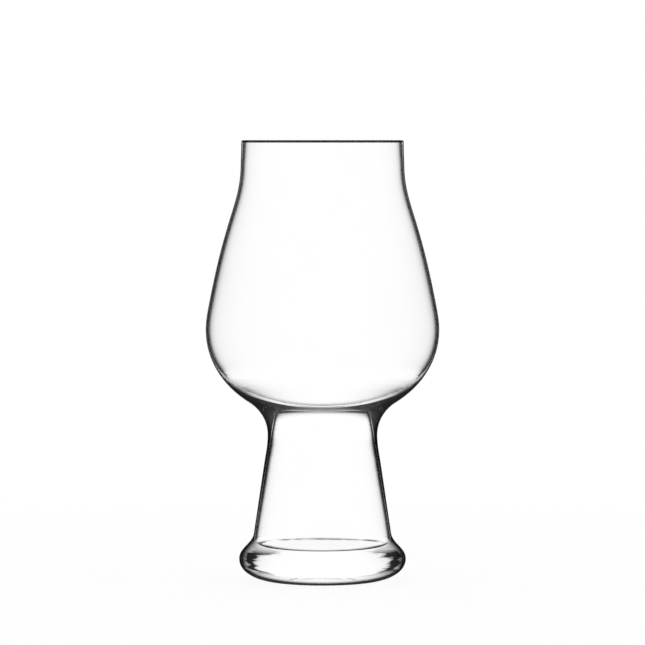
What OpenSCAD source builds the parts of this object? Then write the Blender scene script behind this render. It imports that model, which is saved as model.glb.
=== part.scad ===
// Stout glass: a round bowl with a short neck and a closed floor, on a hollow flared stem with a thick solid foot.
// Millimetres. Z runs up the axis and the table is at Z = 0.
// Every outline is a chain of smooth spans between stations, each with a radius, a height and a lean.

/* [Rim and neck] */
// Outer diameter of the rim
rim_d = 65; // [58:0.5:70]
// Outer diameter at the foot of the neck
neck_d = 65.6; // [58:0.2:71]
// Height of the neck
neck_h = 11.4; // [7:0.2:16]
// Lean of the wall at the foot of the neck, in degrees
neck_lean = 1.7; // [0:0.1:5]

/* [Bowl] */
// Outer diameter of the shoulder, where the bowl is straightest
shoulder_d = 73.8; // [70:0.2:80]
// Height from the shoulder up to the neck
shoulder_h = 19.4; // [14:0.2:26]
// Lean of the wall at the shoulder, in degrees
shoulder_lean = 17.4; // [10:0.2:24]
// Outer diameter at the top of the belly
flank_d = 91; // [85:0.2:93]
// Height from the top of the belly up to the shoulder
flank_h = 34.8; // [28:0.2:42]
// Lean of the wall at the top of the belly, in degrees
flank_lean = 11; // [6:0.2:16]
// Outer diameter of the belly, the widest of the glass
belly_d = 93.6; // [92:0.2:100]
// Height from the widest line up to the top of the belly
belly_h = 10.5; // [7:0.1:14]
// Outer diameter at the root, where the bowl runs in most steeply
root_d = 59; // [54:0.2:66]
// Height from the root up to the widest line
root_h = 28.9; // [24:0.1:34]
// Lean of the wall at the root, in degrees
root_lean = 58; // [45:0.5:66]

/* [Bowl floor] */
// Inner diameter of the haunch, where the inside of the bowl turns in to its floor
haunch_d = 63; // [58:0.2:68]
// Height from the root up to the haunch
haunch_h = 6.4; // [3:0.1:8]
// Lean of the inside of the bowl at the haunch, in degrees
haunch_lean = 70; // [55:0.5:75]
// Height from the bowl's floor up to the haunch
bowl_floor_h = 6; // [5:0.1:9]
// Thickness of the bowl's floor on the axis
bowl_floor = 2.2; // [0.8:0.05:3]

/* [Stem] */
// Outer diameter of the waist, the narrowest of the glass
waist_d = 44; // [38:0.2:50]
// Height from the waist up to the root
waist_h = 13; // [10:0.1:17]
// Outer diameter at the top of the straight flare
flare_d = 47; // [42:0.2:51]
// Height from the top of the straight flare up to the waist
flare_h = 12.3; // [8:0.1:18]
// Outer diameter at the crease above the foot
crease_d = 55.2; // [52:0.2:60]
// Height from the crease up to the top of the straight flare
stem_h = 27.5; // [20:0.5:40]
// Lean of the inside of the waist, in degrees
hollow_lean = 11; // [6:0.2:14]
// Rise of the ceiling of the hollow stem, from the axis out to its edge
ceiling_rise = 0.7; // [0.2:0.05:1.2]
// Rounding between the ceiling and the wall of the hollow stem
ceiling_round = 2.6; // [1:0.1:4]

/* [Foot] */
// Outer diameter of the foot
foot_d = 67; // [62:0.2:74]
// Height from the widest line of the foot up to the crease
crease_h = 10.1; // [7:0.1:14]
// Height of the widest line of the foot above the table
edge_h = 8.7; // [6:0.1:12]
// Outer diameter of the flat ring that the glass stands on
ring_d = 40; // [32:0.5:52]
// Width of the flat ring that the glass stands on
ring_w = 3; // [2:0.25:6]
// Height of the hollow under the foot
punt_h = 1; // [0.5:0.1:3]
// Height of the floor of the hollow stem above the table
floor_h = 13.8; // [10:0.2:16]
// Rounding between the floor and the wall of the hollow stem
floor_round = 2.7; // [1:0.1:4]

/* [Walls] */
// Wall at the rim, which ends in a half-round lip
rim_wall = 1.3; // [0.8:0.05:2]
// Wall of the bowl
bowl_wall = 1.1; // [0.8:0.05:2]
// Wall of the waist
waist_wall = 2.2; // [1.6:0.05:4.5]
// Wall at the top of the straight flare
flare_wall = 1.5; // [1:0.05:3]
// Wall of the stem at the crease
stem_wall = 1.2; // [0.8:0.05:2.5]

/* [Hidden] */
// Reach of a station's handles, as a share of the span; 0.36 keeps a quarter turn close to a circle
handle = 0.36;
// Points along one span
span_steps = 10;
// Points round the lip and along the hollow under the foot
lip_steps = 8;
punt_steps = 8;
$fn = 180;

// Heights of the stations above the table, added up from the foot
crease_z = edge_h + crease_h;
flare_z = crease_z + stem_h;
waist_z = flare_z + flare_h;
root_z = waist_z + waist_h;
belly_z = root_z + root_h;
flank_z = belly_z + belly_h;
shoulder_z = flank_z + flank_h;
neck_z = shoulder_z + shoulder_h;
rim_z = neck_z + neck_h;
haunch_z = root_z + haunch_h;
bowl_floor_z = haunch_z - bowl_floor_h;
ceiling_z = bowl_floor_z - bowl_floor;

// Lean of the straight flare, and of a surface that runs level towards the axis
stem_lean = atan((crease_d - flare_d) / 2 / stem_h);
level = -90;

// Unit vector down the profile at a station
function heading(s) = [sin(s[2]), -cos(s[2])];

// Station on the inside of the wall behind a station on the outside
function inside(s, wall) = [s[0] - wall * cos(s[2]), s[1] - wall * sin(s[2]), s[2]];

// Points of the smooth span from one station to the next, without the last one
function span(a, b) =
    let (p = [a[0], a[1]], q = [b[0], b[1]], reach = handle * norm(q - p))
    let (p_handle = p + reach * heading(a), q_handle = q - reach * heading(b))
    [for (i = [0 : span_steps - 1])
        let (t = i / span_steps, u = 1 - t)
        u^3 * p + 3 * u^2 * t * p_handle + 3 * u * t^2 * q_handle + t^3 * q];

// Points down a whole chain of stations
function chain(stations) =
    let (last = stations[len(stations) - 1])
    [for (i = [0 : len(stations) - 2]) each span(stations[i], stations[i + 1]), [last[0], last[1]]];

function reversed(points) = [for (i = [len(points) - 1 : -1 : 0]) points[i]];

// Outside stations, from the rim down
rim_out = [rim_d / 2, rim_z - rim_wall / 2, 0];
neck_out = [neck_d / 2, neck_z, neck_lean];
shoulder_out = [shoulder_d / 2, shoulder_z, shoulder_lean];
flank_out = [flank_d / 2, flank_z, flank_lean];
belly_out = [belly_d / 2, belly_z, 0];
root_out = [root_d / 2, root_z, -root_lean];
waist_out = [waist_d / 2, waist_z, 0];
flare_out = [flare_d / 2, flare_z, stem_lean];
crease_out = [crease_d / 2, crease_z, stem_lean];
edge_out = [foot_d / 2, edge_h, 0];
ring_out = [ring_d / 2, 0, level];

// Inside stations, from the rim down
rim_in = inside(rim_out, rim_wall);
neck_in = inside(neck_out, bowl_wall);
shoulder_in = inside(shoulder_out, bowl_wall);
flank_in = inside(flank_out, bowl_wall);
belly_in = inside(belly_out, bowl_wall);
haunch_in = [haunch_d / 2, haunch_z, -haunch_lean];
bowl_floor_in = [0, bowl_floor_z, level];

// Stations of the hollow stem, from its ceiling down; its wall is straight above the waist
waist_in = [waist_d / 2 - waist_wall, waist_z, hollow_lean];
ceiling_end_z = ceiling_z + ceiling_rise;
side_z = ceiling_end_z - ceiling_round;
side_in = [waist_in[0] - (side_z - waist_z) * tan(hollow_lean), side_z, hollow_lean];
ceiling_end_r = side_in[0] - ceiling_round;
ceiling_end = [ceiling_end_r, ceiling_end_z, -level + atan(2 * ceiling_rise / ceiling_end_r)];
ceiling_in = [0, ceiling_z, -level];
flare_in = inside(flare_out, flare_wall);
crease_in = [crease_d / 2 - stem_wall / cos(stem_lean), crease_z, stem_lean];
// The wall runs on below the crease to where it starts to round into the floor
wall_end_z = floor_h + floor_round;
wall_end = [crease_in[0] + (crease_z - wall_end_z) * tan(stem_lean), wall_end_z, stem_lean];
floor_start = [wall_end[0] - floor_round, floor_h, level];

// Half-round lip from the inside of the rim over to the outside
function lip() =
    let (mid = (rim_in + rim_out) / 2)
    [for (i = [1 : lip_steps - 1])
        let (turn = 180 - 180 * i / lip_steps)
        [mid[0] + rim_wall / 2 * cos(turn), mid[1] + rim_wall / 2 * sin(turn)]];

// Shallow hollow under the foot, from the inner edge of the ring to the axis
function punt() =
    let (start = ring_d / 2 - ring_w)
    [for (i = [0 : punt_steps])
        let (out = 1 - i / punt_steps)
        [start * out, punt_h * (1 - out^2)]];

module turned(points) {
    rotate_extrude() polygon(points);
}

module bowl() {
    outside = chain([rim_out, neck_out, shoulder_out, flank_out, belly_out, root_out, waist_out]);
    inner = chain([rim_in, neck_in, shoulder_in, flank_in, belly_in, haunch_in, bowl_floor_in]);
    under = chain([ceiling_in, ceiling_end, side_in, waist_in]);
    color("aliceblue", 0.4) turned(concat(reversed(inner), lip(), outside, reversed(under)));
}

module stem() {
    outside = chain([waist_out, flare_out, crease_out]);
    inner = chain([waist_in, flare_in, crease_in]);
    color("lightcyan", 0.4) turned(concat(reversed(inner), outside));
}

module foot() {
    outside = chain([crease_out, edge_out, ring_out]);
    inner = concat([[crease_in[0], crease_in[1]]], chain([wall_end, floor_start]), [[0, floor_h]]);
    color("azure", 0.4) turned(concat(reversed(inner), outside, punt()));
}

bowl();
stem();
foot();
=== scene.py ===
import math
import bpy
import bmesh
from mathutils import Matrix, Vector
from mathutils.geometry import interpolate_bezier


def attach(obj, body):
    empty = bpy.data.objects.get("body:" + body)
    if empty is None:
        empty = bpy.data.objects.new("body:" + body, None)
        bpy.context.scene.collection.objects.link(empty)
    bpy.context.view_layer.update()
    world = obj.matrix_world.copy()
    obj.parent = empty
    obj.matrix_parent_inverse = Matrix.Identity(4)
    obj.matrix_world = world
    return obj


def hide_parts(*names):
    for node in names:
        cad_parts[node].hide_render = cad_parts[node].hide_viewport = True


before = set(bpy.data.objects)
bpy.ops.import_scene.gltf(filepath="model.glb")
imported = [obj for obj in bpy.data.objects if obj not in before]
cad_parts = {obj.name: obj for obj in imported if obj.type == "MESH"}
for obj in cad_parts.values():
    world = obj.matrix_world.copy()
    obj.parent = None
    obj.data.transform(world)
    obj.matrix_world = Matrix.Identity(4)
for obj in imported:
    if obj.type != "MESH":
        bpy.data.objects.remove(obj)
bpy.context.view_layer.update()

scene = bpy.context.scene
scene.view_settings.view_transform = "Standard"
mm = 0.001
print("frame loaded:", sorted(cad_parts))


# camera level with the rim, a long lens from across the room
photoCamera = {"place": (0.0, -1.608, 0.1763), "sensorWidth": 36, "farEnd": 100,
               "focalPixels": 4016, "frameSize": 645, "rimRow": 140.9}

lens = bpy.data.cameras.new("photoCamera")
lens.sensor_width = photoCamera["sensorWidth"]
lens.lens = photoCamera["sensorWidth"] * photoCamera["focalPixels"] / photoCamera["frameSize"]
lens.clip_end = photoCamera["farEnd"]
tripod = bpy.data.objects.new("photoCamera", lens)
tripod.location = photoCamera["place"]
tilt = math.atan((photoCamera["frameSize"] / 2 - photoCamera["rimRow"]) / photoCamera["focalPixels"])
tripod.rotation_euler = (math.pi / 2 - tilt, 0, 0)
scene.collection.objects.link(tripod)
scene.camera = tripod
print("camera set, tilt %.2f degrees" % math.degrees(tilt))


# profile drawing: a station is a radius and a height in mm, and the lean of the line there in degrees
drawing = {"handleShare": 0.36, "spanPoints": 16, "spinSteps": 256, "weld": 1e-7}
level = -90   # lean of a line that runs level towards the axis; one that runs straight down has 0


def place(station):
    return Vector((station[0] * mm, 0, station[1] * mm))


def heading(station):
    lean = math.radians(station[2])
    return Vector((math.sin(lean), 0, -math.cos(lean)))


def chain(stations):
    points = []
    for upper, lower in zip(stations[:-1], stations[1:]):
        start, end = place(upper), place(lower)
        reach = drawing["handleShare"] * (end - start).length
        startHandle = start + reach * heading(upper)
        endHandle = end - reach * heading(lower)
        points += interpolate_bezier(start, startHandle, endHandle, end, drawing["spanPoints"])[:-1]
    return points + [place(stations[-1])]


def behind(station, wall):
    # the same station on the inside of the wall
    lean = math.radians(station[2])
    return (station[0] - wall * math.cos(lean), station[1] - wall * math.sin(lean), station[2])


seamSlot = 1   # material slot of the fused seams, in every piece


def turned(name, profile, closed, seams):
    # a few vertices along the profile, spun once round the axis
    mesh = bmesh.new()
    line = [mesh.verts.new(point) for point in profile]
    edges = [mesh.edges.new(pair) for pair in zip(line[:-1], line[1:])]
    if closed:
        edges.append(mesh.edges.new((line[-1], line[0])))
    bmesh.ops.spin(mesh, geom=line + edges, cent=(0, 0, 0), axis=(0, 0, 1), angle=2 * math.pi,
                   steps=drawing["spinSteps"], use_merge=True)
    bmesh.ops.remove_doubles(mesh, verts=mesh.verts, dist=drawing["weld"])
    bmesh.ops.recalc_face_normals(mesh, faces=mesh.faces)
    for face in mesh.faces:
        face.smooth = True
        for seam in seams:   # the flat rings where two pieces are fused
            if all(abs(vert.co.z - seam * mm) < drawing["weld"] for vert in face.verts):
                face.material_index = seamSlot
                for edge in face.edges:
                    edge.smooth = False
    data = bpy.data.meshes.new(name)
    mesh.to_mesh(data)
    mesh.free()
    piece = bpy.data.objects.new(name, data)
    scene.collection.objects.link(piece)
    print("%s: %d faces" % (name, len(data.polygons)))
    return piece


# short cuts for the nodes that several materials use
def fadeNode(tree, source, span, start=0, end=1):
    node = tree.nodes.new("ShaderNodeMapRange")
    node.interpolation_type = "SMOOTHSTEP"
    node.inputs["From Min"].default_value = span[0]
    node.inputs["From Max"].default_value = span[1]
    node.inputs["To Min"].default_value = start
    node.inputs["To Max"].default_value = end
    tree.links.new(source, node.inputs["Value"])
    return node.outputs["Result"]


def mathNode(tree, operation, *terms):
    node = tree.nodes.new("ShaderNodeMath")
    node.operation = operation
    for socket, term in zip(node.inputs, terms):
        if isinstance(term, (int, float)):
            socket.default_value = term
        else:
            tree.links.new(term, socket)
    return node.outputs["Value"]


def tintNode(tree, under, grey, mask):
    node = tree.nodes.new("ShaderNodeMix")
    node.data_type = "RGBA"
    if isinstance(under, tuple):
        node.inputs["A"].default_value = under
    else:
        tree.links.new(under, node.inputs["A"])
    node.inputs["B"].default_value = (grey, grey, grey, 1)
    tree.links.new(mask, node.inputs["Factor"])
    return node.outputs["Result"]


noiseMiddle = 0.5


def raggedNoise(tree, coords, grain):
    stretch = tree.nodes.new("ShaderNodeMapping")
    stretch.inputs["Scale"].default_value = (grain["along"], grain["along"], grain["up"])
    noise = tree.nodes.new("ShaderNodeTexNoise")
    noise.inputs["Scale"].default_value = 1
    noise.inputs["Detail"].default_value = grain["detail"]
    tree.links.new(coords, stretch.inputs["Vector"])
    tree.links.new(stretch.outputs["Vector"], noise.inputs["Vector"])
    return noise.outputs["Fac"]


def metres(span):
    return [end * mm for end in span]


# fine waves left by the blowing, drawn out along the axis, and smears left by handling
blownLook = {"drawnOut": (1, 1, 0.35), "waveDetail": 1.5, "smearScale": 45, "smearDetail": 5}


def makeBlownWaves(look):
    group = bpy.data.node_groups.new("blownWaves", "ShaderNodeTree")
    group.interface.new_socket("Vector", in_out="INPUT", socket_type="NodeSocketVector")
    group.interface.new_socket("Scale", in_out="INPUT", socket_type="NodeSocketFloat")
    group.interface.new_socket("Height", in_out="OUTPUT", socket_type="NodeSocketFloat")
    group.interface.new_socket("Smear", in_out="OUTPUT", socket_type="NodeSocketFloat")
    nodes, links = group.nodes, group.links
    entry = nodes.new("NodeGroupInput")
    leave = nodes.new("NodeGroupOutput")
    drawn = nodes.new("ShaderNodeMapping")
    drawn.inputs["Scale"].default_value = look["drawnOut"]
    waves = nodes.new("ShaderNodeTexNoise")
    waves.inputs["Detail"].default_value = look["waveDetail"]
    smears = nodes.new("ShaderNodeTexNoise")
    smears.inputs["Scale"].default_value = look["smearScale"]
    smears.inputs["Detail"].default_value = look["smearDetail"]
    links.new(entry.outputs["Vector"], drawn.inputs["Vector"])
    links.new(drawn.outputs["Vector"], waves.inputs["Vector"])
    links.new(entry.outputs["Scale"], waves.inputs["Scale"])
    links.new(entry.outputs["Vector"], smears.inputs["Vector"])
    links.new(waves.outputs["Fac"], leave.inputs["Height"])
    links.new(smears.outputs["Fac"], leave.inputs["Smear"])
    return group


blownWaves = makeBlownWaves(blownLook)


# painted shade, which darkens the glass's colour: each takes the shade so far and gives back a new one
def lipShade(tree, seen, shade, lip):
    # painted shade: a dark band round the lip, just below its top
    return tintNode(tree, shade, lip["tint"], fadeNode(tree, seen["height"], metres(lip["heights"])))


def meniscusShade(tree, seen, shade, ring):
    # painted shade: dark streaks round the inside floor, and a dark line where it is seen through the foot
    low = fadeNode(tree, seen["height"], metres(ring["low"]), 1, 0)
    high = fadeNode(tree, seen["height"], metres(ring["high"]), 1, 0)
    streaks = fadeNode(tree, raggedNoise(tree, seen["coords"], ring), ring["streaks"])
    streaks = mathNode(tree, "MULTIPLY", mathNode(tree, "MULTIPLY", streaks, seen["front"]), low)
    shade = tintNode(tree, shade, ring["streakShadeTint"], streaks)
    ends = mathNode(tree, "MULTIPLY", fadeNode(tree, seen["facing"], ring["ends"]), high)
    line = mathNode(tree, "MAXIMUM", mathNode(tree, "MULTIPLY", low, ring["line"]), ends)
    return tintNode(tree, shade, ring["lineShadeTint"], mathNode(tree, "MULTIPLY", line, seen["through"]))


def edgeShade(tree, seen, shade, edge):
    # painted shade: the glass's colour goes dark where it is seen edge-on
    dark = fadeNode(tree, seen["facing"], edge["span"])
    if edge.get("frontOnly"):
        dark = mathNode(tree, "MULTIPLY", dark, seen["front"])
    return tintNode(tree, shade, edge["tint"], dark)


def strokeShade(tree, seen, shade, strokes):
    # painted shade in ragged strokes inside the edge of the thick foot, with a lighter gap between them and
    # the edge
    ragged = mathNode(tree, "SUBTRACT", raggedNoise(tree, seen["coords"], strokes), noiseMiddle)
    shifted = mathNode(tree, "ADD", seen["facing"], mathNode(tree, "MULTIPLY", ragged, strokes["jag"]))
    gap = fadeNode(tree, shifted, strokes["gap"], 1, strokes["gapShare"])
    band = mathNode(tree, "MULTIPLY", fadeNode(tree, shifted, strokes["span"]), gap)
    above = fadeNode(tree, seen["height"], metres(strokes["low"]))
    below = fadeNode(tree, seen["height"], metres(strokes["high"]), 1, 0)
    within = mathNode(tree, "MULTIPLY", mathNode(tree, "MULTIPLY", above, below), seen["front"])
    return tintNode(tree, shade, strokes["tint"], mathNode(tree, "MULTIPLY", band, within))


shadings = {"lip": lipShade, "meniscus": meniscusShade, "edgeOn": edgeShade, "strokes": strokeShade}


def clearGlass(name, finishAndShade):
    glass = bpy.data.materials.new(name)
    glass.use_nodes = True
    tree = glass.node_tree
    nodes, links = tree.nodes, tree.links
    shader = nodes["Principled BSDF"]
    shader.inputs["Transmission Weight"].default_value = 1
    shader.inputs["IOR"].default_value = finishAndShade["ior"]
    coords = nodes.new("ShaderNodeTexCoord").outputs["Object"]

    waves = nodes.new("ShaderNodeGroup")
    waves.node_tree = blownWaves
    waves.inputs["Scale"].default_value = finishAndShade["waves"]["scale"]
    links.new(coords, waves.inputs["Vector"])
    bump = nodes.new("ShaderNodeBump")
    bump.inputs["Strength"].default_value = finishAndShade["waves"]["strength"]
    bump.inputs["Distance"].default_value = finishAndShade["waves"]["height"] * mm
    links.new(waves.outputs["Height"], bump.inputs["Height"])
    links.new(bump.outputs["Normal"], shader.inputs["Normal"])

    smears = finishAndShade["smears"]
    rough = fadeNode(tree, waves.outputs["Smear"], smears["rough"], 0, smears["roughness"])
    links.new(rough, shader.inputs["Roughness"])
    dull = fadeNode(tree, waves.outputs["Smear"], smears["dull"])
    shade = tintNode(tree, finishAndShade["tint"], smears["tint"], dull)

    spot = nodes.new("ShaderNodeSeparateXYZ")
    links.new(coords, spot.inputs["Vector"])
    through = nodes.new("ShaderNodeNewGeometry").outputs["Backfacing"]   # a face seen from inside the glass
    seen = {"coords": coords, "height": spot.outputs["Z"], "through": through,
            "front": mathNode(tree, "SUBTRACT", 1, through),
            "facing": nodes.new("ShaderNodeLayerWeight").outputs["Facing"]}
    for feature, shading in shadings.items():
        if feature in finishAndShade:
            shade = shading(tree, seen, shade, finishAndShade[feature])
    links.new(shade, shader.inputs["Base Color"])
    return glass


# fused glass has no surface inside: the rings between pieces let everything through
fusedSeam = bpy.data.materials.new("fusedSeam")
fusedSeam.use_nodes = True
fusedSeam.node_tree.nodes["Principled BSDF"].inputs["Alpha"].default_value = 0


def dress(piece, node, glass):
    piece.data.materials.append(glass)
    piece.data.materials.append(fusedSeam)
    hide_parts(node)
    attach(piece, "root")


def paintZone(piece, glass, zone):
    # faces between two heights and two radii get their own glass
    # side 1 is the outside of the wall and -1 its inside, facing 1 is up and -1 down
    if glass.name not in piece.data.materials:
        piece.data.materials.append(glass)
    index = piece.data.materials.find(glass.name)
    for face in piece.data.polygons:
        spot, normal = face.center, face.normal
        outward = (spot.x * normal.x + spot.y * normal.y) * zone.get("side", 0)
        upward = normal.z * zone.get("facing", 0)
        inHeight = zone["low"] * mm < spot.z < zone["high"] * mm
        inRadius = zone.get("from", 0) * mm < math.hypot(spot.x, spot.y) < zone.get("to", math.inf) * mm
        if inHeight and inRadius and outward >= 0 and upward >= 0 and face.material_index != seamSlot:
            face.material_index = index


gradeSteps = 5


def gradeZone(piece, name, lower, upper, span, side):
    # small steps from one finish and its painted edge-on shade to another, so that no line shows where they
    # meet
    rise = (span[1] - span[0]) / gradeSteps
    for step in range(gradeSteps):
        share = (step + 1) / (gradeSteps + 1)
        finishAndShade = dict(lower, ior=lower["ior"] + share * (upper["ior"] - lower["ior"]))
        if "edgeOn" in lower:
            ends = zip(lower["edgeOn"]["span"], upper["edgeOn"]["span"])
            between = [start + share * (end - start) for start, end in ends]
            finishAndShade["edgeOn"] = dict(lower["edgeOn"], span=between)
        stepName = name + str(step)
        glass = bpy.data.materials.get(stepName) or clearGlass(stepName, finishAndShade)
        low = span[0] + step * rise
        paintZone(piece, glass, {"low": low, "high": low + rise, "side": side})


# heights above the table, in mm
heights = {"rim": 176.6, "neck": 165.2, "shoulder": 145.8, "flank": 111.0, "belly": 100.5, "haunch": 78,
           "bowlFloor": 72, "root": 71.6, "ceiling": 69.8, "waist": 58.6, "flare": 46.3, "crease": 18.8,
           "stemFloor": 13.8, "edge": 8.7}

# what two pieces share: the flare of the stem, and the seams at the waist and at the crease
shared = {"waistRadius": 22, "waistWall": 2.2, "hollowLean": 11, "flareRadius": 23.5, "creaseRadius": 27.6,
          "creaseWall": 1.2}
flareDrop = heights["flare"] - heights["crease"]
flareLean = math.degrees(math.atan((shared["creaseRadius"] - shared["flareRadius"]) / flareDrop))
hollowSlope = math.tan(math.radians(shared["hollowLean"]))
flareSlope = math.tan(math.radians(flareLean))
waistOut = (shared["waistRadius"], heights["waist"], 0)
waistIn = (shared["waistRadius"] - shared["waistWall"], heights["waist"], shared["hollowLean"])
creaseOut = (shared["creaseRadius"], heights["crease"], flareLean)
creaseWall = shared["creaseWall"] / math.cos(math.radians(flareLean))
creaseIn = (shared["creaseRadius"] - creaseWall, heights["crease"], flareLean)

# clear glass in thin walls; an index near 1 and painted shade on what is seen edge-on give the look of a
# bright field
wallFinish = {"ior": 1.03, "tint": (1, 1, 1, 1), "waves": {"scale": 30, "strength": 0.05, "height": 0.2},
              "smears": {"rough": (0.5, 0.8), "roughness": 0.01, "dull": (0.55, 0.8), "tint": 0.985}}
# each edgeOn paints shade into the glass's colour where it is seen edge-on
outerFinishAndShade = dict(wallFinish, edgeOn={"span": (0.7, 0.86), "tint": 0.02})
rootFinishAndShade = dict(wallFinish, ior=1.06, edgeOn={"span": (0.5, 0.84), "tint": 0.06})
waistFinishAndShade = dict(wallFinish, edgeOn={"span": (0.42, 0.64), "tint": 0.06})
flareFinishAndShade = dict(wallFinish, edgeOn={"span": (0.6, 0.8), "tint": 0.06})
wallGlass = clearGlass("wallGlass", wallFinish)

bowlLook = {"rimWall": 1.3, "wall": 1.1, "rimRadius": 32.5, "neck": (32.8, heights["neck"], 1.7),
            "shoulder": (36.9, heights["shoulder"], 17.4), "flank": (45.5, heights["flank"], 11),
            "belly": (46.8, heights["belly"], 0), "root": (29.5, heights["root"], -58),
            "haunch": (31.5, heights["haunch"], -70), "ceilingRise": 0.7, "ceilingRound": 2.6}
rootTop, rootFoot, floorTop = (76, 82), (56, 66), (78, 84)   # heights between which the glass changes
bowlZones = {"outside": {"low": rootTop[1], "high": heights["rim"], "side": 1},
             "root": {"low": rootFoot[1], "high": rootTop[0], "side": 1},
             "floor": {"low": rootFoot[1], "high": floorTop[0], "facing": 1, "to": 31.6},
             "ceiling": {"low": 67.9, "high": 71.5, "facing": -1, "to": 18.1},
             "lip": {"low": 175.5, "high": 177}}


def makeBowl(look):
    crest = look["rimRadius"] - look["rimWall"] / 2
    rim = (look["rimRadius"], heights["rim"] - look["rimWall"] / 2, 0)
    sides = [look["neck"], look["shoulder"], look["flank"], look["belly"]]
    outside = chain([(crest, heights["rim"], -level), rim] + sides + [look["root"], waistOut])
    inside = chain([(crest, heights["rim"], level), behind(rim, look["rimWall"])]
                   + [behind(station, look["wall"]) for station in sides]
                   + [look["haunch"], (0, heights["bowlFloor"], level)])
    # under the floor: the dished ceiling of the hollow stem, rounded into its straight wall
    edgeHeight = heights["ceiling"] + look["ceilingRise"]
    sideHeight = edgeHeight - look["ceilingRound"]
    sideRadius = waistIn[0] - (sideHeight - heights["waist"]) * hollowSlope
    edgeRadius = sideRadius - look["ceilingRound"]
    edgeLean = math.degrees(math.atan(2 * look["ceilingRise"] / edgeRadius)) - level
    under = chain([(0, heights["ceiling"], -level), (edgeRadius, edgeHeight, edgeLean),
                   (sideRadius, sideHeight, shared["hollowLean"]), waistIn])
    return turned("bowl_glass", inside[::-1] + outside[1:] + under[::-1], False, [heights["waist"]])


bowl = makeBowl(bowlLook)
dress(bowl, "bowl", wallGlass)

# thick glass at the root bends more than the walls, and the surfaces of the bowl's floor less
# painted shade in a dark band round the lip
lipFinishAndShade = dict(wallFinish, lip={"heights": (175.5, 175.75), "tint": 0.05})
innerFinish = dict(wallFinish, ior=1.01)
# painted shade where the bowl's floor and the ceiling under it are seen edge-on
floorEdgeShade = {"span": (0.8, 0.92), "tint": 0.3}
floorFinishAndShade = dict(innerFinish, edgeOn=floorEdgeShade)
ceilingFinishAndShade = dict(wallFinish, ior=1.02, edgeOn=floorEdgeShade)
paintZone(bowl, clearGlass("bowlOuterGlass", outerFinishAndShade), bowlZones["outside"])
gradeZone(bowl, "rootTop", rootFinishAndShade, outerFinishAndShade, rootTop, 1)
paintZone(bowl, clearGlass("rootGlass", rootFinishAndShade), bowlZones["root"])
gradeZone(bowl, "rootFoot", waistFinishAndShade, rootFinishAndShade, rootFoot, 1)
gradeZone(bowl, "floorTop", innerFinish, wallFinish, floorTop, -1)
paintZone(bowl, clearGlass("bowlFloorGlass", floorFinishAndShade), bowlZones["floor"])
paintZone(bowl, clearGlass("ceilingGlass", ceilingFinishAndShade), bowlZones["ceiling"])
paintZone(bowl, clearGlass("lipGlass", lipFinishAndShade), bowlZones["lip"])


stemLook = {"flareWall": 1.5, "flare": (shared["flareRadius"], heights["flare"], flareLean)}
flareSpan = (28, rootFoot[0])   # heights between which the glass changes
stemOutside = {"low": heights["crease"], "high": flareSpan[1], "side": 1}


def makeStem(look):
    outside = chain([waistOut, look["flare"], creaseOut])
    inside = chain([waistIn, behind(look["flare"], look["flareWall"]), creaseIn])
    return turned("stem_glass", inside[::-1] + outside, True, [heights["waist"], heights["crease"]])


stem = makeStem(stemLook)
dress(stem, "stem", wallGlass)
paintZone(stem, clearGlass("flareGlass", flareFinishAndShade), stemOutside)
gradeZone(stem, "flare", flareFinishAndShade, waistFinishAndShade, flareSpan, 1)
gradeZone(stem, "rootFoot", waistFinishAndShade, rootFinishAndShade, rootFoot, 1)


footLook = {"edge": (33.5, heights["edge"], 0), "ring": (20, 0, level), "ringWidth": 3, "puntHeight": 1.0,
            "puntLean": -96.7, "floorRound": 2.7}
baseSpan = (0.8, 6)   # heights between which the glass changes
footZones = {"outside": {"low": 0, "high": heights["crease"], "side": 1},
             "edge": {"low": -1, "high": baseSpan[0], "side": 1},
             "under": {"low": -1, "high": 1.2, "facing": -1, "to": 20},
             "floor": {"low": 13, "high": 16.5, "facing": 1, "to": 26.8},
             "ring": {"low": 13.7, "high": 16.5, "facing": 1, "from": 22.4, "to": 26.8}}


def makeFoot(look):
    outside = chain([creaseOut, look["edge"], look["ring"]])
    wallEnd = heights["stemFloor"] + look["floorRound"]
    wallFoot = (creaseIn[0] + (heights["crease"] - wallEnd) * flareSlope, wallEnd, flareLean)
    floorStart = (wallFoot[0] - look["floorRound"], heights["stemFloor"], level)
    inside = [place(creaseIn)] + chain([wallFoot, floorStart]) + [place((0, heights["stemFloor"]))]
    puntStart = (look["ring"][0] - look["ringWidth"], 0, look["puntLean"])
    punt = chain([puntStart, (0, look["puntHeight"], level)])
    return turned("foot_glass", inside[::-1] + outside + punt, False, [heights["crease"]])


foot = makeFoot(footLook)
dress(foot, "foot", wallGlass)

# the thick foot: painted shade in dark strokes inside its edge and where it is seen edge-on, a plain base,
# and a meniscus round the floor inside with painted shade along it
footWaves = {"scale": 60, "strength": 0.1, "height": 0.2}
footStrokeShade = {"along": 60, "up": 700, "detail": 3, "jag": 0.5, "span": (0.36, 0.46), "gap": (0.6, 0.7),
               "gapShare": 0.3, "low": (3, 6), "high": (12.5, 16), "tint": 0.001}
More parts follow.
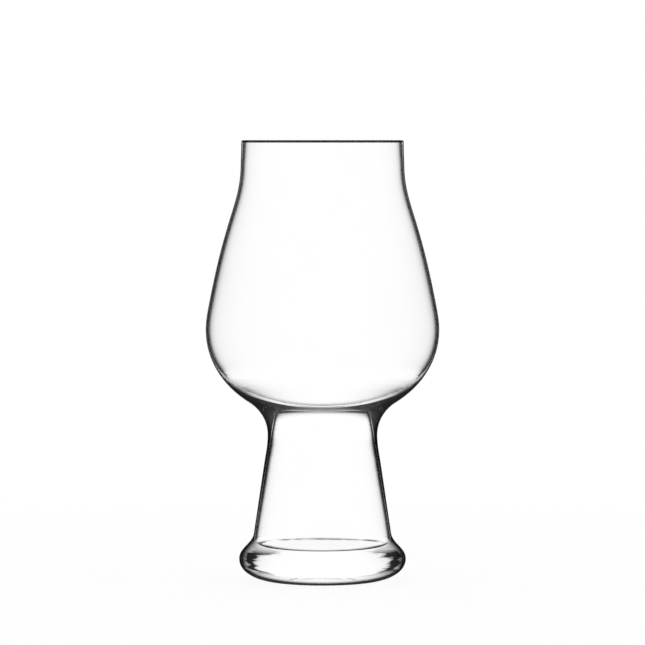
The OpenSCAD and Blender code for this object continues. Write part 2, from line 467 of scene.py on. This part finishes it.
# painted shade along the meniscus: streaks round the inside floor, and a dark line where it is seen through
# the foot
footMeniscusShade = {"along": 90, "up": 700, "detail": 3, "streaks": (0.3, 0.6), "streakShadeTint": 0.04,
                "low": (14.1, 14.8), "high": (15, 16), "line": 0.85, "ends": (0.25, 0.62), "lineShadeTint": 0.003}
footFinishAndShade = dict(wallFinish, waves=footWaves, strokes=footStrokeShade,
                  edgeOn={"span": (0.5, 0.85), "tint": 0.001, "frontOnly": True})
baseFinishAndShade = dict(footFinishAndShade, edgeOn=dict(footFinishAndShade["edgeOn"], span=(0.48, 0.72)))
underFinish = dict(wallFinish, ior=1.002)
footEdgeFinishAndShade = dict(baseFinishAndShade, ior=underFinish["ior"])
stemFloorFinish = dict(wallFinish, waves=footWaves, ior=1.015)
ringFinishAndShade = dict(stemFloorFinish, meniscus=footMeniscusShade)
paintZone(foot, clearGlass("footGlass", footFinishAndShade), footZones["outside"])
gradeZone(foot, "footBase", footEdgeFinishAndShade, baseFinishAndShade, baseSpan, 1)
paintZone(foot, clearGlass("footEdgeGlass", footEdgeFinishAndShade), footZones["edge"])
paintZone(foot, clearGlass("footUnderGlass", underFinish), footZones["under"])
paintZone(foot, clearGlass("footFloorGlass", stemFloorFinish), footZones["floor"])
paintZone(foot, clearGlass("footRingGlass", ringFinishAndShade), footZones["ring"])
print("glass dressed")


# bright field: white panels round the glass with dark cards between them, in degrees
surround = {"panels": 8, "panelEdge": (0.5, 9.4), "panelTop": (1.9, 8.7), "skyFrom": (44, 48),
            "cardGlow": 0.04}


def radians(angles):
    return [math.radians(angle) for angle in angles]


def lightSurround(plan):
    studio = bpy.data.worlds.new("studio")
    studio.use_nodes = True
    scene.world = studio
    tree = studio.node_tree
    coords = tree.nodes.new("ShaderNodeTexCoord")
    spot = tree.nodes.new("ShaderNodeSeparateXYZ")
    tree.links.new(coords.outputs["Generated"], spot.inputs["Vector"])
    around = mathNode(tree, "ARCTAN2", spot.outputs["X"], spot.outputs["Y"])
    across = mathNode(tree, "PINGPONG", around, math.pi / plan["panels"])   # from the nearest panel's middle
    up = mathNode(tree, "ARCSINE", spot.outputs["Z"])
    beside = fadeNode(tree, across, radians(plan["panelEdge"]), 1, 0)
    over = fadeNode(tree, up, radians(plan["panelTop"]), 1, 0)
    panel = mathNode(tree, "MULTIPLY", beside, over)
    room = mathNode(tree, "MAXIMUM", fadeNode(tree, up, radians(plan["skyFrom"])), plan["cardGlow"])
    path = tree.nodes.new("ShaderNodeLightPath")
    glow = mathNode(tree, "MAXIMUM", mathNode(tree, "MAXIMUM", panel, room), path.outputs["Is Camera Ray"])
    backdrop = tree.nodes["Background"]
    backdrop.inputs["Color"].default_value = (1, 1, 1, 1)
    tree.links.new(glow, backdrop.inputs["Strength"])


lightSurround(surround)


# white floor to the eye with a faint shadow, out of the way of what the glass bends
floorLook = {"size": 8, "cells": 8, "drop": 0.0001, "paint": (0.9, 0.9, 0.9, 1), "shadowShare": 0.1,
             "shadowFade": (0.12, 0.4)}


def paintFloor(look):
    paint = bpy.data.materials.new("floorPaint")
    paint.use_nodes = True
    nodes, links = paint.node_tree.nodes, paint.node_tree.links
    matt = nodes["Principled BSDF"]
    matt.inputs["Base Color"].default_value = look["paint"]
    matt.inputs["Roughness"].default_value = 1
    matt.inputs["Specular IOR Level"].default_value = 0
    glow = nodes.new("ShaderNodeEmission")
    coords = nodes.new("ShaderNodeTexCoord")
    away = nodes.new("ShaderNodeVectorMath")
    away.operation = "LENGTH"
    links.new(coords.outputs["Object"], away.inputs[0])
    share = nodes.new("ShaderNodeMapRange")   # plain white away from the glass
    share.inputs["From Min"].default_value = look["shadowFade"][0]
    share.inputs["From Max"].default_value = look["shadowFade"][1]
    share.inputs["To Min"].default_value = 1 - look["shadowShare"]
    share.inputs["To Max"].default_value = 1
    links.new(away.outputs["Value"], share.inputs["Value"])
    shown = nodes.new("ShaderNodeMixShader")
    links.new(share.outputs["Result"], shown.inputs["Fac"])
    links.new(matt.outputs["BSDF"], shown.inputs[1])
    links.new(glow.outputs["Emission"], shown.inputs[2])
    clear = nodes.new("ShaderNodeBsdfTransparent")
    path = nodes.new("ShaderNodeLightPath")
    seen = nodes.new("ShaderNodeMixShader")
    links.new(path.outputs["Is Camera Ray"], seen.inputs["Fac"])
    links.new(clear.outputs["BSDF"], seen.inputs[1])
    links.new(shown.outputs["Shader"], seen.inputs[2])
    links.new(seen.outputs["Shader"], nodes["Material Output"].inputs["Surface"])
    return paint


def makeFloor(look):
    mesh = bmesh.new()
    bmesh.ops.create_grid(mesh, x_segments=look["cells"], y_segments=look["cells"], size=look["size"] / 2)
    bmesh.ops.translate(mesh, verts=mesh.verts, vec=(0, 0, -look["drop"]))
    data = bpy.data.meshes.new("studioFloor")
    mesh.to_mesh(data)
    mesh.free()
    data.materials.append(paintFloor(look))
    floor = bpy.data.objects.new("studioFloor", data)
    scene.collection.objects.link(floor)


makeFloor(floorLook)

softLamp = {"watts": 14, "size": 1.6, "place": (0, 0, 1.4)}
lampData = bpy.data.lights.new("softLamp", "AREA")
lampData.energy = softLamp["watts"]
lampData.size = softLamp["size"]
lamp = bpy.data.objects.new("softLamp", lampData)
lamp.location = softLamp["place"]
scene.collection.objects.link(lamp)
print("studio lit")
